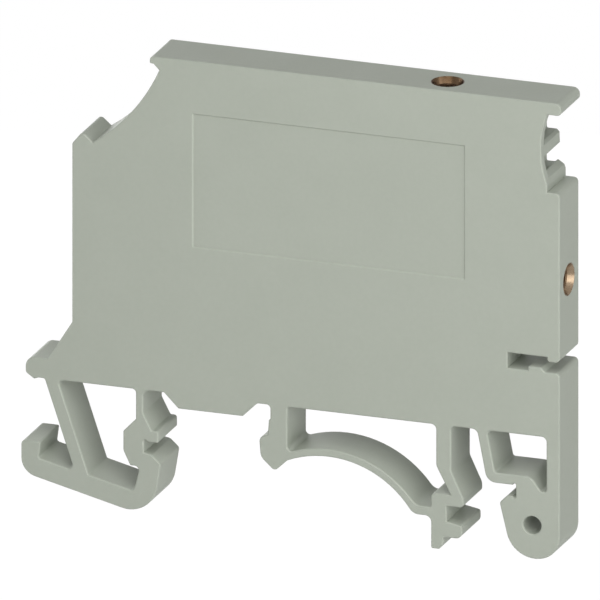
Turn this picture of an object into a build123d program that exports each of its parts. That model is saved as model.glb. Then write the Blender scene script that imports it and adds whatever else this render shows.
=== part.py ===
from build123d import *
from math import acos, cos, degrees, radians, sin, tan
import os

# Frame: X across the rail, Y along the rail, Z away from it. The origin is on the rail's centre line,
# on the face of its flanges, half way through the plate. The marked face looks towards -Y.
# Sizes are in mm. Those that end in _z or _drop go up or down from the rail seat, those in _below go
# down from the top, and those in _out go outwards from the slot face that stops the rail's edge, so they
# are negative over the rail.

# Rails that the foot takes, and its play on them
rail_width = 35.0
rail_flange = 1.0
rail_play = 0.15
slot_play = 0.05
narrow_rail_flange = 1.4
narrow_slot_play = 0.07
slot_relief = 0.15

# Body of the plate
thickness = 5.0
left_face_out = 6.8
right_face_out = 4.15
height = 36.5
underside_z = 4.86
belly_depth = 1.37
belly_left_out = -1.9
belly_post_gap = 1.25
edge_break = 0.1

# Flange along the top
flange_left_out = -0.55
flange_right_overhang = 0.15
flange_nose = 0.7
flange_depth = 1.15
flange_bevel = 0.55
flange_left_step = 0.9
flange_right_step = 1.35

# Scoops below the flange, and the tooth at the left
left_scoop_radius = 17.3
right_scoop_radius = 9.6
right_scoop_height = 6.6
notch_out = 4.85
notch_below = 8.78
tooth_out = 5.85
tooth_below = 7.92
shoulder_below = 9.1
shelf_below = 8.5

# Rack of teeth at the right, behind the front wall
face_wall = 0.8
rack_depth = 1.79
rack_margin = 0.5
upper_tooth_below = 4.15
upper_tooth_bevel = 0.25
upper_tooth_root = 2.48
tooth_gap = 0.62
lower_tooth_rise = 0.25
lower_tooth_step = 0.8
lower_tooth_fall = 0.55

# Slot in the right face
side_slot_z = 11.0
side_slot_height = 1.45
side_slot_depth = 4.95
side_nose = 1.2
side_nose_drop = 0.45
side_bump = 0.38
side_bump_start = 3.0
side_bump_end = 1.4

# Recess for a mark, and its place to the left of the rail's centre line
mark_width = 25.75
mark_height = 12.55
mark_offset = 0.12
mark_below = 11.2
mark_depth = 0.25

# Fixed foot at the right
sole_bulge = 0.37
sole_drop = 6.75
grip_angle = 13.4
grip_out = -1.55
grip_drop = 1.78
grip_bevel = 0.75
foot_corner_out = -2.75
foot_lean = 0.95
foot_wall = 0.93
beam_wall = 0.97
beam_swell = 0.95
column_wall = 1.25
column_foot_drop = 0.32
column_foot_width = 0.55
pin_hole_radius = 0.85
pin_hole_inset = 2.6
pin_hole_drop = 3.6

# Springy leg and its block, which grip a narrower rail at the right
leg_out = -7.57
leg_wall = 1.42
leg_bend_z = 0.8
leg_turn = 27.5
leg_root = 0.5
toe_reach = 2.6
toe_height = 0.87
block_step = 0.48
block_top_drop = 1.65
block_slot_depth = 1.6
block_slot_drop = 2.75
lip_step = 0.15
lip_slope = 0.26
lip_height = 1.22
stub_width = 1.15
stub_height = 1.18

# Arch that joins the block to the middle post
arch_radius = 9.5
arch_wall = 0.7
arch_root_drop = 0.215
arch_foot_reach = 1.75
arch_foot_drop = 3.85
arch_foot_wall = 0.85

# Middle post and its lug, which grip a narrower rail at the left
post_out = -13.6
post_wall = 1.6
post_waist_z = 3.4
lug_reach = 2.67
lug_z = 2.05
lug_drop = 1.35
lug_step = 0.35

# Hinge and jaw of the sprung foot at the left
hinge_out = 0.07
hinge_wall = 0.68
jaw_out = -1.37
jaw_wall = 1.08
jaw_taper = 1.6
jaw_back_out = 1.95
jaw_back_z = 0.78
jaw_shoulder_z = 2.05
throat_out = 1.3
throat_drop = 2.4
palm_out = -1.6
palm_drop = 1.95

# Sprung foot at the left, with its pocket for a screwdriver
foot_slope = 0.243
heel_out = -0.75
heel_drop = 7.2
heel_radius = 2.7
heel_window_out = 0.95
heel_window_lean = 0.55
lever_out = 11.63
lever_drop = 1.18
lever_wall = 1.63
lever_draft = 0.2
lever_pocket_drop = 2.72
strut_out = 9.42
strut_wall = 1.25
strut_lean = 0.338
strut_foot_drop = 3.75

# Ear at the lower left of the body
ear_reach = 1.8
ear_height = 1.9
ear_root = 0.3
flank_height = 5.64

# Sockets in the top and in the right face
socket_radius = 1.5
socket_rim = 1.42
socket_bore = 0.9
socket_length = 8.0
socket_bore_depth = 7.0
socket_fit = 0.02
top_socket_inset = 11.5
side_socket_below = 17.35

# Corner radii of the outlines, from the sharpest to the fullest
crisp = 0.15
soft = 0.25
full = 0.4
broad = 0.6
ear_round = 0.9
bend = 1.0
sole_round = 2.2
lever_round = 1.7

# Heights, and the faces that are measured from
catch_x = rail_width / 2 + rail_play
right_face_x = catch_x + right_face_out
rail_slot = rail_flange + slot_play
narrow_slot = narrow_rail_flange + narrow_slot_play
nose_z = height - flange_nose
flange_z = height - flange_depth
belly_z = underside_z - belly_depth
side_slot_top = side_slot_z + side_slot_height
upper_tooth_z = height - upper_tooth_below
upper_root_z = upper_tooth_z - upper_tooth_root
lower_tooth_z = upper_root_z - tooth_gap
lip_z = -block_slot_drop - narrow_slot - lip_slope
lip_foot_z = lip_z - lip_height
stub_foot_z = lip_foot_z - stub_height
arch_tab_z = arch_foot_wall - arch_foot_drop

# Places measured outwards from the slot faces, as the _out sizes are
flange_right_out = right_face_out + flange_right_overhang
neck_left_out = flange_left_out - flange_left_step
neck_right_out = flange_right_out - flange_right_step
rack_root_out = neck_right_out - rack_depth
rack_end_out = neck_right_out + rack_margin
scoop_half = right_scoop_height / 2
scoop_floor_out = neck_right_out - right_scoop_radius + (right_scoop_radius**2 - scoop_half**2) ** 0.5
column_out = right_face_out - column_wall
leg_mitre = leg_wall / 2 * tan(radians(leg_turn / 2))
leg_foot_out = leg_out + (leg_bend_z + leg_mitre + block_top_drop) * tan(radians(leg_turn))
toe_out = leg_out + toe_reach
block_out = leg_out - block_step
block_slot_out = toe_out - block_slot_depth
stub_out = block_out + stub_width
post_back_out = post_out + post_wall
belly_right_out = post_back_out + belly_post_gap
lug_out = post_out + lug_reach
lever_inner_out = lever_out - lever_wall


def left(out, z, *radius):
    """Corner at the left of the plate, from how far out it lies."""
    return (-catch_x - out, z, *radius)


def right(out, z, *radius):
    """Corner at the right of the plate, from how far out it lies."""
    return (catch_x + out, z, *radius)


def strut_at(z, wall=0.0):
    """How far out the leaning strut's outer edge lies at a height, or its inner edge with its wall."""
    return strut_out - strut_lean * (underside_z - z) - wall


def foot_wall_at(z, wall=0.0):
    """How far out the fixed foot's leaning wall lies at a height."""
    return foot_corner_out - foot_lean * z / underside_z + wall


def foot_floor(z, from_out, out):
    """Height of one of the sprung foot's parallel floors, which fall towards the right."""
    return z + foot_slope * (out - from_out)


def run(*corners):
    """Straight stretch of outline through (x, z, radius) corners, with plain ends."""
    radii = [corner[2] for corner in corners[1:-1]]
    FilletPolyline(*[corner[:2] for corner in corners], radius=radii)


def loop(*corners):
    """Closed outline through (x, z, radius) corners."""
    radii = [corner[2] for corner in corners]
    FilletPolyline(*[corner[:2] for corner in corners], radius=radii, close=True)


# Points that two stretches of outline share
neck_left = left(neck_left_out, nose_z - flange_bevel)
scoop_top = right(neck_right_out, flange_z)
scoop_end = right(neck_right_out, flange_z - right_scoop_height)
notch = left(notch_out, height - notch_below)

# The sole's arc bulges past the right face, rests at its drop and touches the leaning edge of the grip
grip_cos = cos(radians(grip_angle))
grip_sin = sin(radians(grip_angle))
sole_radius = (right_face_out + sole_bulge - grip_out) * grip_cos + (grip_drop - sole_drop) * grip_sin
sole_radius /= 1 + grip_cos - grip_sin
sole_out = right_face_out + sole_bulge - sole_radius
sole_z = sole_radius - sole_drop
sole_turn = degrees(acos((right_face_out - sole_out) / sole_radius))
sole_start = right(right_face_out, sole_z - sole_radius * sin(radians(sole_turn)))
sole_end = right(sole_out - sole_radius * grip_cos, sole_z - sole_radius * grip_sin)

# The arch runs from the block to the middle post, as thick as its wall, and its window stops at them
arch_foot = right(block_out - arch_foot_reach, -arch_foot_drop)
arch_root = left(post_out, -arch_root_drop)
arch_centre = RadiusArc(arch_foot, arch_root, -arch_radius).arc_center
top_radius = arch_radius + arch_wall
arch_top_foot = (
    arch_centre.X + (top_radius**2 - (arch_tab_z - arch_centre.Y) ** 2) ** 0.5,
    arch_tab_z,
)
arch_top_root = (
    arch_root[0],
    arch_centre.Y + (top_radius**2 - (arch_root[0] - arch_centre.X) ** 2) ** 0.5,
)

# Where the strut meets the floor of the pocket, and the floor of the sprung foot's window
pocket_out = strut_at(-lever_pocket_drop) - strut_lean * foot_slope * lever_inner_out
pocket_out /= 1 - strut_lean * foot_slope
strut_foot_out = strut_at(-strut_foot_drop, strut_wall)

with BuildPart() as housing:
    with BuildSketch(Plane.XZ) as outline:
        with BuildLine():
            # Flange, whose left end is a small dovetail and whose right end is rounded
            run(
                neck_left,
                left(neck_left_out + flange_bevel, nose_z, 0),
                left(flange_left_out, nose_z, crisp),
                left(flange_left_out, height, full),
                right(flange_right_out, height, broad),
                right(flange_right_out, flange_z, full),
                scoop_top,
            )
            RadiusArc(scoop_top, scoop_end, -right_scoop_radius)
            # Shelf, right face and the slot in it
            run(
                scoop_end,
                right(neck_right_out, height - shelf_below, 0),
                right(right_face_out, height - shelf_below, full),
                right(right_face_out, side_slot_top - side_nose_drop, side_nose / 2 - crisp),
                right(right_face_out - side_nose, side_slot_top - side_nose_drop, side_nose_drop - crisp),
                right(right_face_out - side_nose, side_slot_top, 0),
                right(right_face_out - side_slot_depth, side_slot_top, 0),
                right(right_face_out - side_slot_depth, side_slot_z, 0),
                right(right_face_out - side_bump_start, side_slot_z, 0),
                right(right_face_out - side_bump_start, side_slot_z + side_bump, crisp),
                right(right_face_out - side_bump_end - side_bump, side_slot_z + side_bump, soft),
                right(right_face_out - side_bump_end, side_slot_z, soft),
                right(right_face_out, side_slot_z, full),
                sole_start,
            )
            CenterArc(right(sole_out, sole_z), sole_radius, -sole_turn, sole_turn + grip_angle - 180)
            # Grip and rail slot of the fixed foot, the springy leg and its block
            run(
                sole_end,
                right(grip_out, -grip_drop, full),
                right(grip_out + grip_bevel, -rail_slot, crisp),
                right(0, -rail_slot, 0),
                right(0, 0, 0),
                right(foot_wall_at(0), 0, bend),
                right(foot_wall_at(underside_z), underside_z, broad),
                right(leg_out + leg_wall, underside_z, full),
                right(leg_out + leg_wall, leg_bend_z - leg_mitre, bend),
                right(toe_out, toe_height - block_slot_drop, bend),
                right(toe_out, -block_slot_drop, full),
                right(block_slot_out, -block_slot_drop, 0),
                right(block_slot_out, -block_slot_drop - narrow_slot, 0),
                right(toe_out - lip_step, lip_z, soft),
                right(toe_out - lip_step, lip_foot_z, broad),
                right(stub_out, lip_foot_z, soft),
                right(stub_out, stub_foot_z + full, crisp),
                right(stub_out - full, stub_foot_z, crisp),
                right(block_out, stub_foot_z, crisp),
                right(block_out, -arch_foot_drop, broad),
                arch_foot,
            )
            RadiusArc(arch_foot, arch_root, -arch_radius)
            # Lug and middle post, the hinge and jaw of the sprung foot, and the foot itself
            run(
                arch_root,
                left(post_back_out - full, -lug_drop, full),
                left(lug_out - crisp, -crisp, bend),
                left(lug_out, lug_z - lug_step, broad),
                left(post_back_out + soft, lug_z, 0),
                left(post_back_out + crisp, post_waist_z, 0),
                left(post_back_out, post_waist_z + crisp, 0),
                left(post_back_out, underside_z, full),
                left(belly_right_out, underside_z, full),
                left(belly_right_out + belly_depth, belly_z, crisp),
                left(belly_left_out - belly_depth, belly_z, crisp),
                left(belly_left_out, underside_z, crisp),
                left(hinge_out, underside_z, broad),
                left(hinge_out, jaw_wall + jaw_taper, full),
                left(hinge_out - jaw_taper * tan(radians(leg_turn)), jaw_wall, crisp),
                left(jaw_out, jaw_wall, soft),
                left(jaw_out, 0, crisp),
                left(0, 0, 0),
                left(0, -rail_slot, 0),
                left(-grip_bevel, -rail_slot - slot_relief, full),
                left(palm_out, -palm_drop, full),
                left(heel_out, -heel_drop, heel_radius),
                left(lever_out, foot_floor(-heel_drop, heel_out, lever_out), lever_round),
                left(lever_out, -lever_drop, full),
                left(lever_inner_out - lever_draft, -lever_drop, crisp),
                left(lever_inner_out, -lever_pocket_drop, soft),
                left(pocket_out, foot_floor(-lever_pocket_drop, lever_inner_out, pocket_out), full),
                left(strut_out, underside_z, soft),
                left(strut_out + broad, underside_z, crisp),
                left(strut_out + broad + full, underside_z - crisp, crisp),
                left(strut_out + ear_reach, underside_z + full, full),
                left(strut_out + ear_reach, underside_z + ear_height, ear_round),
                left(strut_out - ear_root, underside_z + ear_height, soft),
                left(left_face_out, underside_z + flank_height, crisp),
                left(left_face_out, height - shoulder_below, full),
                left(tooth_out, height - tooth_below, full),
                notch,
            )
            RadiusArc(notch, neck_left, -left_scoop_radius)
        make_face()
        fillet(outline.vertices().sort_by_distance(sole_start)[0], sole_round)
        fillet(outline.vertices().sort_by_distance(arch_foot)[0], bend)
        # Window of the sprung foot, between its strut, its jaw and its heel
        with BuildLine():
            loop(
                left(strut_at(underside_z, strut_wall), underside_z, full),
                left(hinge_out + hinge_wall, underside_z, full),
                left(hinge_out + hinge_wall, jaw_shoulder_z, crisp),
                left(jaw_back_out, jaw_back_z, soft),
                left(jaw_back_out, -rail_slot, broad),
                left(throat_out, -throat_drop, crisp),
                left(heel_window_out - heel_window_lean, -throat_drop, full),
                left(heel_window_out, foot_floor(-strut_foot_drop, strut_foot_out, heel_window_out), full),
                left(strut_foot_out, -strut_foot_drop, crisp),
            )
        make_face(mode=Mode.SUBTRACT)
        # Window over the arch, from the middle post to the springy leg
        with BuildLine():
            run(
                arch_top_root,
                left(post_out, underside_z, soft),
                right(leg_out, underside_z, leg_root),
                right(leg_out, leg_bend_z + leg_mitre, bend),
                right(leg_foot_out, -block_top_drop, 0),
                right(block_out, -block_top_drop, full),
                right(block_out, arch_tab_z, soft),
                arch_top_foot,
            )
            RadiusArc(arch_top_foot, arch_top_root, -top_radius)
        make_face(mode=Mode.SUBTRACT)
        fillet(outline.vertices().sort_by_distance(arch_top_foot)[0], bend)
        fillet(outline.vertices().sort_by_distance(arch_top_root)[0], full)
        # Window of the fixed foot, between its leaning wall, its beam and its column
        with BuildLine():
            loop(
                right(foot_wall_at(underside_z, foot_wall), underside_z, full),
                right(column_out, underside_z, leg_root),
                right(column_out, -column_foot_drop, soft),
                right(column_out - column_foot_width, -column_foot_drop, soft),
                right(column_out - column_foot_width - beam_swell, beam_wall, bend),
                right(foot_wall_at(beam_wall, foot_wall), beam_wall, soft),
            )
        make_face(mode=Mode.SUBTRACT)
        with Locations((right_face_x - pin_hole_inset, -pin_hole_drop)):
            Circle(pin_hole_radius, mode=Mode.SUBTRACT)
        # Reliefs in the corners of the rail slots
        with Locations(
            right(-slot_relief, 0),
            right(-slot_relief, -rail_slot),
            left(-slot_relief, 0),
        ):
            Circle(slot_relief, mode=Mode.SUBTRACT)
    extrude(amount=thickness / 2, both=True)
    chamfer(housing.faces().sort_by(Axis.Y)[0].edges(), edge_break)

    # Gaps of the rack, cut behind the front wall
    with BuildSketch(Plane.XZ.offset(thickness / 2 - face_wall)):
        with BuildLine():
            bevel_z = upper_tooth_z - upper_tooth_bevel - rack_end_out + scoop_floor_out
            loop(
                right(rack_root_out, flange_z, 0),
                right(rack_end_out, flange_z, 0),
                right(rack_end_out, bevel_z, 0),
                right(scoop_floor_out - upper_tooth_bevel, upper_tooth_z, crisp),
                right(rack_root_out, upper_tooth_z, crisp),
            )
        make_face()
        with BuildLine():
            step_out = rack_root_out + lower_tooth_step
            loop(
                right(rack_root_out, upper_root_z, crisp),
                right(rack_root_out, lower_tooth_z, crisp),
                right(step_out, lower_tooth_z, crisp),
                right(step_out + soft, lower_tooth_z + lower_tooth_rise, crisp),
                right(rack_end_out, lower_tooth_z - lower_tooth_fall, 0),
                right(rack_end_out, upper_root_z + rack_end_out - rack_root_out, 0),
            )
        make_face()
    extrude(amount=face_wall - thickness, mode=Mode.SUBTRACT)

    # Shallow recess for a mark in the front
    with BuildSketch(Plane.XZ.offset(thickness / 2)):
        with Locations((-mark_offset, height - mark_below)):
            Rectangle(mark_width, mark_height)
    extrude(amount=-mark_depth, mode=Mode.SUBTRACT)

    # Blind holes that the sockets are pressed into
    top_seat = Plane(origin=(right_face_x - top_socket_inset, 0, height), z_dir=(0, 0, 1))
    side_seat = Plane(origin=(right_face_x, 0, height - side_socket_below), z_dir=(1, 0, 0))
    with Locations(top_seat, side_seat):
        Hole(socket_radius + socket_fit, depth=socket_length)


def turned_socket(seat):
    """Turned sleeve, flush with its seat, with a countersunk mouth and a blind bore."""
    with BuildPart(seat) as sleeve:
        Cylinder(socket_radius, socket_length, align=(Align.CENTER, Align.CENTER, Align.MAX))
        CounterSinkHole(socket_bore, socket_rim, depth=socket_bore_depth, counter_sink_angle=90)
    return sleeve


parts = {
    "housing": housing,
    "top_socket": turned_socket(top_seat),
    "side_socket": turned_socket(side_seat),
}

os.makedirs("parts", exist_ok=True)
for name, piece in parts.items():
    piece.part.label = name
    export_step(piece.part, f"parts/{name}.step")
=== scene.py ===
import math

import bpy
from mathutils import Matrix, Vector


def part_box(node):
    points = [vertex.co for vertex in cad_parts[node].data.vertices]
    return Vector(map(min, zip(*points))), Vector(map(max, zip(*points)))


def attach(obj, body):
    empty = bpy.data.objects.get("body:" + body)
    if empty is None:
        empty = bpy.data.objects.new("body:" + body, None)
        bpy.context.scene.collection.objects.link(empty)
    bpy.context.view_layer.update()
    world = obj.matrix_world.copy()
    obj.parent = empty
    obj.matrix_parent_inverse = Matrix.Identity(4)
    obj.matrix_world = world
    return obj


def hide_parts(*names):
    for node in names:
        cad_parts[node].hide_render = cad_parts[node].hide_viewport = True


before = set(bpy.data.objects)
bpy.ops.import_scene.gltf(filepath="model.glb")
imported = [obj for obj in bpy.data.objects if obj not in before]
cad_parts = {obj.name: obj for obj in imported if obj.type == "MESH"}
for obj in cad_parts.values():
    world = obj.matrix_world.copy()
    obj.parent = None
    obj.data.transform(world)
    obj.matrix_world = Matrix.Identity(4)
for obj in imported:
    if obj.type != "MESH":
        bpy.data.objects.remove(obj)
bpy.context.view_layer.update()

MM = 0.001

# The camera looks along the photograph's line of sight, without perspective
AZIMUTH = math.radians(19.76)
ELEVATION = math.radians(19.12)
PIXELS_PER_MM = 11.2
FRAME_PIXELS = 600
PICTURE_CENTRE = Vector((-2.813, -2.5, 15.128)) * MM
CAMERA_DISTANCE = 0.3
NEAREST_SEEN = 0.01
FARTHEST_SEEN = 10.0

# The backdrop lies far below the plate, which a rail holds up
BACKDROP_DROP = 0.07
BACKDROP_HALF = 1.5
BACKDROP_PAPER = (0.8, 0.8, 0.8, 1.0)
BACKDROP_GLOW = 1.045
BACKDROP_GLOW_SHARE = 0.95

WHITE = (1.0, 1.0, 1.0, 1.0)
FILL = 0.02
LAMP_DISTANCE = 0.30

# Satin plastic. Each pattern's scale is in waves to the metre.
PLASTIC_DEEP = (0.378, 0.407, 0.349, 1.0)
PLASTIC_PALE = (0.398, 0.427, 0.368, 1.0)
PLASTIC_SPECULAR = 0.3
PLASTIC_ROUGHNESS = (0.50, 0.58)
PLASTIC_BUMP = 0.12
CLOUD_SCALE = 160.0
CLOUD_SHARE = 0.6
SPECK_SCALE = 2600.0
GRAIN_SCALE = 9000.0
GRAIN_SHARE = 0.7
GRAIN_HEIGHT = 0.03 * MM
GRAIN_ROUGHNESS = 0.03

# Brass of each socket, dull and clean. The top one is the same brass made darker: painted shade for the
# dim reflections in its mouth.
TOP_BRASS_PAINTED_SHADE = ((0.070, 0.042, 0.022, 1.0), (0.122, 0.079, 0.047, 1.0))
SIDE_BRASS = ((0.20, 0.142, 0.092, 1.0), (0.30, 0.226, 0.155, 1.0))
BRASS_ROUGHNESS = (0.22, 0.32)
BRASS_BUMP = 0.2
STAIN_SCALE = 900.0
TOOL_MARK_SCALE = 6000.0
TOOL_MARK_HEIGHT = 0.01 * MM

# A noise pattern lies mostly between the first two levels, and nearly all of it between the others
NOISE_MOST = (0.3, 0.7)
NOISE_ALL = (0.2, 0.8)

# Recess for a mark in the front of the moulding: its solid's floor, and the true shallow one, whose
# borders slope at 45 degrees
FRONT_Y = -2.5 * MM
SOLID_FLOOR_Y = -2.25 * MM
SOLID_RECESS = (25.75 * MM, 12.55 * MM)
SOLID_RECESS_CENTRE = (-0.12 * MM, 25.3 * MM)
RECESS = (25.9 * MM, 12.73 * MM)
RECESS_DROP = 0.09 * MM
RECESS_DEPTH = 0.12 * MM
RECESS_REACH = 0.1 * MM

# Points of the moulding's mesh closer than the weld are merged, and edges sharper than the crease stay
# sharp
WELD = 0.001 * MM
MOULDING_CREASE = math.radians(30)

# Turned sleeve of a socket: a funnel at its mouth, a ledge below it and a blind bore
SLEEVE_RADIUS = 1.5 * MM
SLEEVE_LENGTH = 8.0 * MM
RIM_RADIUS = 1.46 * MM
THROAT_RADIUS = 1.25 * MM
FUNNEL_DEPTH = 0.62 * MM
BORE_RADIUS = 0.9 * MM
BORE_DEPTH = 7.0 * MM
SLEEVE_EDGE = 0.03 * MM
SLEEVE_EDGE_STEPS = 3
SLEEVE_SIDES = 96
SLEEVE_CORNER = math.radians(30)
SLEEVE_CREASE = math.radians(35)

# A face looks up if its normal rises by more than this
LOOKS_UP = 0.9


class Wire:
    """One value of a node tree, written as an expression."""

    def __init__(self, tree, socket):
        self.tree = tree
        self.socket = socket

    def node(self, kind, settings=None, **inputs):
        """Adds a node, makes its settings, then fills its inputs by name or by place, as in i0."""
        made = self.tree.nodes.new(kind)
        for name, value in (settings or {}).items():
            setattr(made, name, value)
        for name, value in inputs.items():
            place = int(name[1:]) if name[1:].isdigit() else name.replace("_", " ")
            target = made.inputs[place]
            if isinstance(value, Wire):
                self.tree.links.new(value.socket, target)
            else:
                target.default_value = value
        return made

    def out(self, kind, settings=None, output=0, **inputs):
        """The same, giving one output of the node."""
        return Wire(self.tree, self.node(kind, settings, **inputs).outputs[output])

    def maths(self, operation, *values):
        """One Math node on these values."""
        inputs = {f"i{place}": value for place, value in enumerate(values)}
        return self.out("ShaderNodeMath", {"operation": operation}, **inputs)

    def __add__(self, other):
        return self.maths("ADD", self, other)

    __radd__ = __add__

    def __mul__(self, other):
        return self.maths("MULTIPLY", self, other)

    __rmul__ = __mul__

    def between(self, low, high, start=0.0, end=1.0):
        """Goes from start to end while the value goes from low to high."""
        return self.out(
            "ShaderNodeMapRange", {"clamp": True}, i0=self, i1=low, i2=high, i3=start, i4=end
        )

    def noise(self, scale, detail, roughness):
        """Cloudy pattern over a place."""
        return self.out(
            "ShaderNodeTexNoise", Vector=self, Scale=scale, Detail=detail, Roughness=roughness
        )

    def mixed(self, first, second):
        """Colour between two, by the value."""
        return self.out("ShaderNodeMix", {"data_type": "RGBA"}, output=2, i0=self, i6=first, i7=second)

    def plug(self, shader, name):
        """Feeds one socket of a shader."""
        self.tree.links.new(self.socket, shader.inputs[name])


def surface(name):
    """Empty material: its Principled node, and a wire that carries Object coordinates."""
    material = bpy.data.materials.new(name)
    material.use_nodes = True
    tree = material.node_tree
    shader = tree.nodes["Principled BSDF"]
    place = Wire(tree, tree.nodes.new("ShaderNodeTexCoord").outputs["Object"])
    return material, shader, place


def grey_green_plastic():
    """Satin moulding: a faint cloudy tone, a fine eroded grain and softly rubbed patches."""
    material, shader, place = surface("grey_green_plastic")
    cloud = place.noise(CLOUD_SCALE, detail=3.0, roughness=0.55)
    grain = place.noise(GRAIN_SCALE, detail=2.0, roughness=0.6)
    speck = place.noise(SPECK_SCALE, detail=1.0, roughness=0.5)
    tone = cloud.between(*NOISE_MOST) * CLOUD_SHARE + speck.between(*NOISE_MOST) * (1 - CLOUD_SHARE)
    tone.mixed(PLASTIC_DEEP, PLASTIC_PALE).plug(shader, "Base Color")
    rubbed = cloud.between(*NOISE_MOST, *PLASTIC_ROUGHNESS)
    eroded = grain.between(*NOISE_ALL, -GRAIN_ROUGHNESS, GRAIN_ROUGHNESS)
    (rubbed + eroded).plug(shader, "Roughness")
    height = grain * GRAIN_SHARE + speck * (1 - GRAIN_SHARE)
    bump = place.out("ShaderNodeBump", Strength=PLASTIC_BUMP, Distance=GRAIN_HEIGHT, Height=height)
    bump.plug(shader, "Normal")
    shader.inputs["Specular IOR Level"].default_value = PLASTIC_SPECULAR
    return material


def turned_brass(name, dull, clean):
    """Turned metal with a cloudy tarnish, from a dull tone to a clean one, and fine tool marks."""
    material, shader, place = surface(name)
    stain = place.noise(STAIN_SCALE, detail=2.0, roughness=0.5)
    marks = place.noise(TOOL_MARK_SCALE, detail=1.0, roughness=0.5)
    stain.between(*NOISE_MOST).mixed(dull, clean).plug(shader, "Base Color")
    marks.between(*NOISE_ALL, *BRASS_ROUGHNESS).plug(shader, "Roughness")
    bump = place.out("ShaderNodeBump", Strength=BRASS_BUMP, Distance=TOOL_MARK_HEIGHT, Height=marks)
    bump.plug(shader, "Normal")
    shader.inputs["Metallic"].default_value = 1.0
    return material


def resize_recess(piece, y, width, height, sink):
    """Gives the recess's corners at one depth their true width, height and place."""
    middle_x, middle_z = SOLID_RECESS_CENTRE
    bpy.ops.object.mode_set(mode="OBJECT")
    for corner in piece.data.vertices:
        place = corner.co
        corner.select = (
            abs(place.y - y) < RECESS_REACH / 2
            and abs(place.x - middle_x) < SOLID_RECESS[0] / 2 + RECESS_REACH
            and abs(place.z - middle_z) < SOLID_RECESS[1] / 2 + RECESS_REACH
        )
    bpy.ops.object.mode_set(mode="EDIT")
    bpy.ops.transform.resize(
        value=(width / SOLID_RECESS[0], 1.0, height / SOLID_RECESS[1]),
        center_override=(middle_x, y, middle_z),
    )
    bpy.ops.transform.translate(value=(0.0, sink, -RECESS_DROP))


def moulding():
    """Copy of the housing's solid, with the shallow recess that its mark lies in."""
    bpy.ops.object.select_all(action="DESELECT")
    piece = bpy.data.objects.new("housing_moulding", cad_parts["housing"].data.copy())
    bpy.context.scene.collection.objects.link(piece)
    bpy.context.view_layer.objects.active = piece
    piece.select_set(True)
    bpy.ops.mesh.customdata_custom_splitnormals_clear()
    bpy.ops.object.mode_set(mode="EDIT")
    bpy.ops.mesh.select_mode(type="VERT")
    bpy.ops.mesh.select_all(action="SELECT")
    bpy.ops.mesh.remove_doubles(threshold=WELD)
    bpy.ops.mesh.select_all(action="DESELECT")
    resize_recess(piece, FRONT_Y, RECESS[0], RECESS[1], 0.0)
    bpy.ops.mesh.select_all(action="DESELECT")
    resize_recess(
        piece,
        SOLID_FLOOR_Y,
        RECESS[0] - 2 * RECESS_DEPTH,
        RECESS[1] - 2 * RECESS_DEPTH,
        FRONT_Y + RECESS_DEPTH - SOLID_FLOOR_Y,
    )
    bpy.ops.object.mode_set(mode="OBJECT")
    bpy.ops.object.shade_smooth_by_angle(angle=MOULDING_CREASE)
    piece.data.materials.clear()
    piece.data.materials.append(grey_green_plastic())
    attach(piece, "root")
    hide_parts("housing")


def socket_sleeve(node_name, mouth_axis, brass):
    """Turned sleeve in place of the plain solid of a socket, with its mouth where that solid has it."""
    bpy.ops.object.select_all(action="DESELECT")
    bpy.ops.mesh.primitive_cylinder_add(
        vertices=SLEEVE_SIDES, radius=SLEEVE_RADIUS, depth=SLEEVE_LENGTH, location=(0, 0, 0)
    )
    sleeve = bpy.context.object
    sleeve.name = f"{node_name}_sleeve"
    bpy.ops.object.mode_set(mode="EDIT")
    bpy.ops.mesh.select_all(action="DESELECT")
    bpy.ops.object.mode_set(mode="OBJECT")
    for face in sleeve.data.polygons:
        face.select = face.normal.z > LOOKS_UP
    bpy.ops.object.mode_set(mode="EDIT")
    bpy.ops.mesh.select_mode(type="FACE")
    bpy.ops.mesh.inset(thickness=SLEEVE_RADIUS - RIM_RADIUS)
    bpy.ops.mesh.extrude_region_move(TRANSFORM_OT_translate={"value": (0, 0, -FUNNEL_DEPTH)})
    narrowing = THROAT_RADIUS / RIM_RADIUS
    bpy.ops.transform.resize(
        value=(narrowing, narrowing, 1.0),
        center_override=(0, 0, SLEEVE_LENGTH / 2 - FUNNEL_DEPTH),
    )
    bpy.ops.mesh.inset(thickness=THROAT_RADIUS - BORE_RADIUS)
    bpy.ops.mesh.extrude_region_move(
        TRANSFORM_OT_translate={"value": (0, 0, FUNNEL_DEPTH - BORE_DEPTH)}
    )
    bpy.ops.object.mode_set(mode="OBJECT")
    edges = sleeve.modifiers.new("turned_edges", "BEVEL")
    edges.width = SLEEVE_EDGE
    edges.segments = SLEEVE_EDGE_STEPS
    edges.limit_method = "ANGLE"
    edges.angle_limit = SLEEVE_CORNER
    bpy.ops.object.modifier_apply(modifier=edges.name)
    bpy.ops.object.shade_smooth_by_angle(angle=SLEEVE_CREASE)
    low, high = (Vector(corner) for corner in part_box(node_name))
    sleeve.rotation_mode = "QUATERNION"
    sleeve.rotation_quaternion = Vector(mouth_axis).to_track_quat("Z", "Y")
    sleeve.location = (low + high) / 2
    bpy.ops.object.transform_apply(location=True, rotation=True, scale=True)
    dull, clean = brass
    sleeve.data.materials.append(turned_brass(f"{node_name}_brass", dull, clean))
    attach(sleeve, "root")
    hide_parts(node_name)


def seen_white(tree):
    """1 where the camera, a reflection or a pane of glass sees the surface, and 0 for other light."""
    path = tree.nodes.new("ShaderNodeLightPath")
    camera, glossy, clear = (
        Wire(tree, path.outputs[name])
        for name in ("Is Camera Ray", "Is Glossy Ray", "Is Transmission Ray")
    )
    return camera.maths("MAXIMUM", camera.maths("MAXIMUM", camera, glossy), clear)


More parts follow.
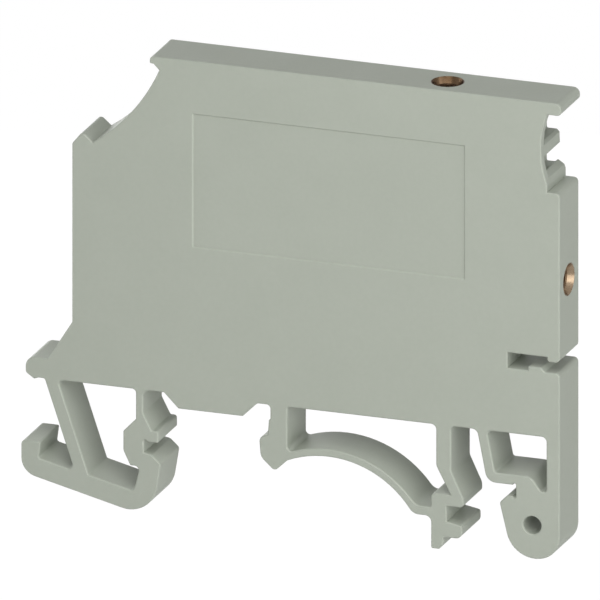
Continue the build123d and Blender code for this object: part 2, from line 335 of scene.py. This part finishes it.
def backdrop():
    """White floor below the plate. It looks white, and still takes a little of the plate's shadow."""
    bpy.ops.mesh.primitive_plane_add(size=2 * BACKDROP_HALF, location=(0, 0, -BACKDROP_DROP))
    floor = bpy.context.object
    floor.name = "backdrop"
    material = bpy.data.materials.new("backdrop_white")
    material.use_nodes = True
    tree = material.node_tree
    tree.nodes.clear()
    seen = seen_white(tree)
    paper = seen.out("ShaderNodeBsdfDiffuse", Color=BACKDROP_PAPER)
    glow = seen.out("ShaderNodeEmission", Color=WHITE, Strength=BACKDROP_GLOW)
    mixed = seen.out("ShaderNodeMixShader", i0=seen * BACKDROP_GLOW_SHARE, i1=paper, i2=glow)
    seen.node("ShaderNodeOutputMaterial", Surface=mixed)
    floor.data.materials.append(material)


def surroundings():
    """White to the eye, and an even fill of light for the plate."""
    world = bpy.data.worlds.new("studio")
    bpy.context.scene.world = world
    world.use_nodes = True
    tree = world.node_tree
    tree.nodes.clear()
    seen = seen_white(tree)
    sky = seen.out("ShaderNodeBackground", Color=WHITE, Strength=seen.between(0.0, 1.0, FILL, 1.0))
    seen.node("ShaderNodeOutputWorld", Surface=sky)


def softbox(name, towards, size, power):
    """Square lamp that shines on the plate from one side."""
    lamp = bpy.data.lights.new(name, "AREA")
    lamp.shape = "SQUARE"
    lamp.size = size
    lamp.energy = power
    holder = bpy.data.objects.new(name, lamp)
    bpy.context.scene.collection.objects.link(holder)
    away = Vector(towards).normalized()
    holder.location = PICTURE_CENTRE + away * LAMP_DISTANCE
    holder.rotation_mode = "QUATERNION"
    holder.rotation_quaternion = away.to_track_quat("Z", "Y")


def camera():
    """Camera without perspective, at the photograph's angle and scale."""
    data = bpy.data.cameras.new("camera")
    data.type = "ORTHO"
    data.ortho_scale = FRAME_PIXELS / PIXELS_PER_MM * MM
    data.clip_start = NEAREST_SEEN
    data.clip_end = FARTHEST_SEEN
    eye = bpy.data.objects.new("camera", data)
    bpy.context.scene.collection.objects.link(eye)
    back = Vector((
        math.sin(AZIMUTH) * math.cos(ELEVATION),
        -math.cos(AZIMUTH) * math.cos(ELEVATION),
        math.sin(ELEVATION),
    ))
    eye.location = PICTURE_CENTRE + back * CAMERA_DISTANCE
    eye.rotation_mode = "QUATERNION"
    eye.rotation_quaternion = back.to_track_quat("Z", "Y")
    bpy.context.scene.camera = eye


bpy.context.scene.view_settings.view_transform = "Standard"

moulding()
# The top sleeve takes the darker copy of the brass, which is painted shade
socket_sleeve("top_socket", (0, 0, 1), TOP_BRASS_PAINTED_SHADE)
socket_sleeve("side_socket", (1, 0, 0), SIDE_BRASS)

backdrop()
surroundings()
softbox("front_box", towards=(0.35, -1.0, 0.25), size=0.28, power=0.385)
softbox("right_box", towards=(1.0, -0.5, 0.15), size=0.28, power=0.53)
softbox("top_box", towards=(0.1, -0.6, 1.0), size=0.20, power=0.42)
softbox("left_front_box", towards=(-0.96, -0.20, 0.14), size=0.08, power=0.16)
softbox("left_small_box", towards=(-0.97, 0.08, 0.10), size=0.05, power=0.07)
softbox("left_box", towards=(-0.95, 0.45, -0.25), size=0.18, power=0.25)
softbox("back_box", towards=(-0.35, 1.0, -0.15), size=0.28, power=0.42)
camera()
